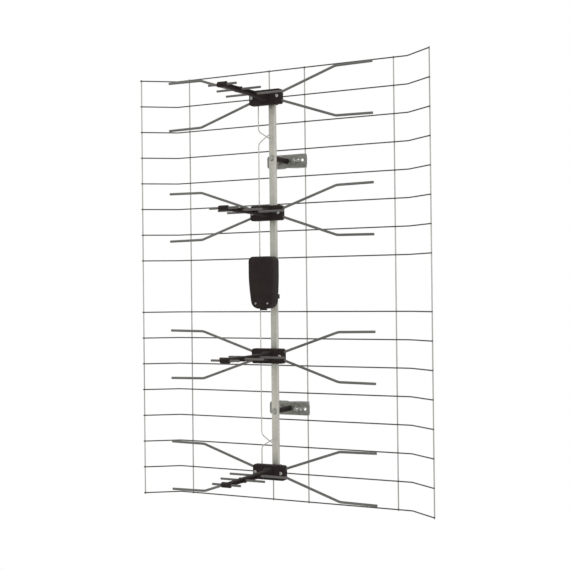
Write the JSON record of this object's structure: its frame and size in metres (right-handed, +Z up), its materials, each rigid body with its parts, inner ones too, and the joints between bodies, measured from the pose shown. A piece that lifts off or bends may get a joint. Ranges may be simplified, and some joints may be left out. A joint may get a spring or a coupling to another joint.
{
  "type": "television panel antenna with grid reflector",
  "caption": "Panel antenna for the UHF band: V-shaped dipole pairs with directors on a boom, before a bent wire-grid reflector, with a connection box and two pole clamps.",
  "frame": {"origin": "on the axis of the round that the clamps close on, at the middle of the reflector's height", "axes": "+Z up along that round, -Y the way the antenna looks, +X to the right seen from the front"},
  "size_m": [0.5982, 0.2763, 0.8054],
  "materials": {
    "zinc_wire": "zinc-plated, dull",
    "galvanised_tube": "galvanised, satin",
    "galvanised_sheet": "galvanised, satin",
    "zinc_rod": "zinc-plated",
    "bright_screw": "bright zinc-plated",
    "dipole_rod": "drawn, dull",
    "director_rod": "drawn, dull",
    "feed_wire": "drawn, bare",
    "black_plastic": "moulded, fine grain",
    "rubber": "soft, matt",
    "circuit_board": "green lacquer"
  },
  "bodies": {
    "frame": {"reflector_grid": "zinc_wire", "boom": "galvanised_tube", "insulator_top": "black_plastic", "director_arm_top": "black_plastic", "dipole_left_top": "dipole_rod", "terminal_screw_left_top": "bright_screw", "dipole_right_top": "dipole_rod", "terminal_screw_right_top": "bright_screw", "director_long_top": "director_rod", "director_middle_top": "director_rod", "director_short_top": "director_rod", "insulator_upper": "black_plastic", "director_arm_upper": "black_plastic", "dipole_left_upper": "dipole_rod", "terminal_screw_left_upper": "bright_screw", "dipole_right_upper": "dipole_rod", "terminal_screw_right_upper": "bright_screw", "director_long_upper": "director_rod", "director_middle_upper": "director_rod", "director_short_upper": "director_rod", "insulator_lower": "black_plastic", "director_arm_lower": "black_plastic", "dipole_left_lower": "dipole_rod", "terminal_screw_left_lower": "bright_screw", "dipole_right_lower": "dipole_rod", "terminal_screw_right_lower": "bright_screw", "director_long_lower": "director_rod", "director_middle_lower": "director_rod", "director_short_lower": "director_rod", "insulator_bottom": "black_plastic", "director_arm_bottom": "black_plastic", "dipole_left_bottom": "dipole_rod", "terminal_screw_left_bottom": "bright_screw", "dipole_right_bottom": "dipole_rod", "terminal_screw_right_bottom": "bright_screw", "director_long_bottom": "director_rod", "director_middle_bottom": "director_rod", "director_short_bottom": "director_rod", "feed_wire_upper_front": "feed_wire", "feed_wire_upper_back": "feed_wire", "feed_wire_lower_front": "feed_wire", "feed_wire_lower_back": "feed_wire", "box_base": "black_plastic", "box_board": "circuit_board", "box_grommet": "rubber", "clamp_bracket_upper": "galvanised_sheet", "clamp_spacer_upper": "black_plastic", "clamp_bolt_upper": "bright_screw", "clamp_bracket_lower": "galvanised_sheet", "clamp_spacer_lower": "black_plastic", "clamp_bolt_lower": "bright_screw"},
    "box_lid": {"box_lid": "black_plastic", "lid_screw_left": "bright_screw", "lid_screw_right": "bright_screw"},
    "u_bolt_upper": {"u_bolt_upper": "zinc_rod"},
    "nut_left_upper": {"u_bolt_nut_left_upper": "bright_screw"},
    "nut_right_upper": {"u_bolt_nut_right_upper": "bright_screw"},
    "u_bolt_lower": {"u_bolt_lower": "zinc_rod"},
    "nut_left_lower": {"u_bolt_nut_left_lower": "bright_screw"},
    "nut_right_lower": {"u_bolt_nut_right_lower": "bright_screw"}
  },
  "joints": [
    {"name": "lid_swing", "type": "hinge", "parent": "frame", "child": "box_lid", "pos_m": [0, -0.12359, 0.05], "axis": [-1, 0, 0], "range_deg": [0, 80]},
    {"name": "nut_left_upper_turn", "type": "hinge", "parent": "frame", "child": "nut_left_upper", "pos_m": [-0.018, -0.025, 0.229], "axis": [0, -1, 0], "range_deg": [0, 3600]},
    {"name": "nut_right_upper_turn", "type": "hinge", "parent": "frame", "child": "nut_right_upper", "pos_m": [0.018, -0.025, 0.229], "axis": [0, -1, 0], "range_deg": [0, 3600]},
    {"name": "u_bolt_upper_slide", "type": "slide", "parent": "frame", "child": "u_bolt_upper", "axis": [0, 1, 0], "range_m": [0, 0.01]},
    {"name": "nut_left_lower_turn", "type": "hinge", "parent": "frame", "child": "nut_left_lower", "pos_m": [-0.018, -0.025, -0.229], "axis": [0, -1, 0], "range_deg": [0, 3600]},
    {"name": "nut_right_lower_turn", "type": "hinge", "parent": "frame", "child": "nut_right_lower", "pos_m": [0.018, -0.025, -0.229], "axis": [0, -1, 0], "range_deg": [0, 3600]},
    {"name": "u_bolt_lower_slide", "type": "slide", "parent": "frame", "child": "u_bolt_lower", "axis": [0, 1, 0], "range_m": [0, 0.01]}
  ],
  "couplings": [
    {"joint": "nut_left_upper_turn", "follows": "u_bolt_upper_slide", "rad_per_m": 6283.2},
    {"joint": "nut_right_upper_turn", "follows": "u_bolt_upper_slide", "rad_per_m": 6283.2},
    {"joint": "nut_left_lower_turn", "follows": "u_bolt_lower_slide", "rad_per_m": 6283.2},
    {"joint": "nut_right_lower_turn", "follows": "u_bolt_lower_slide", "rad_per_m": 6283.2}
  ]
}
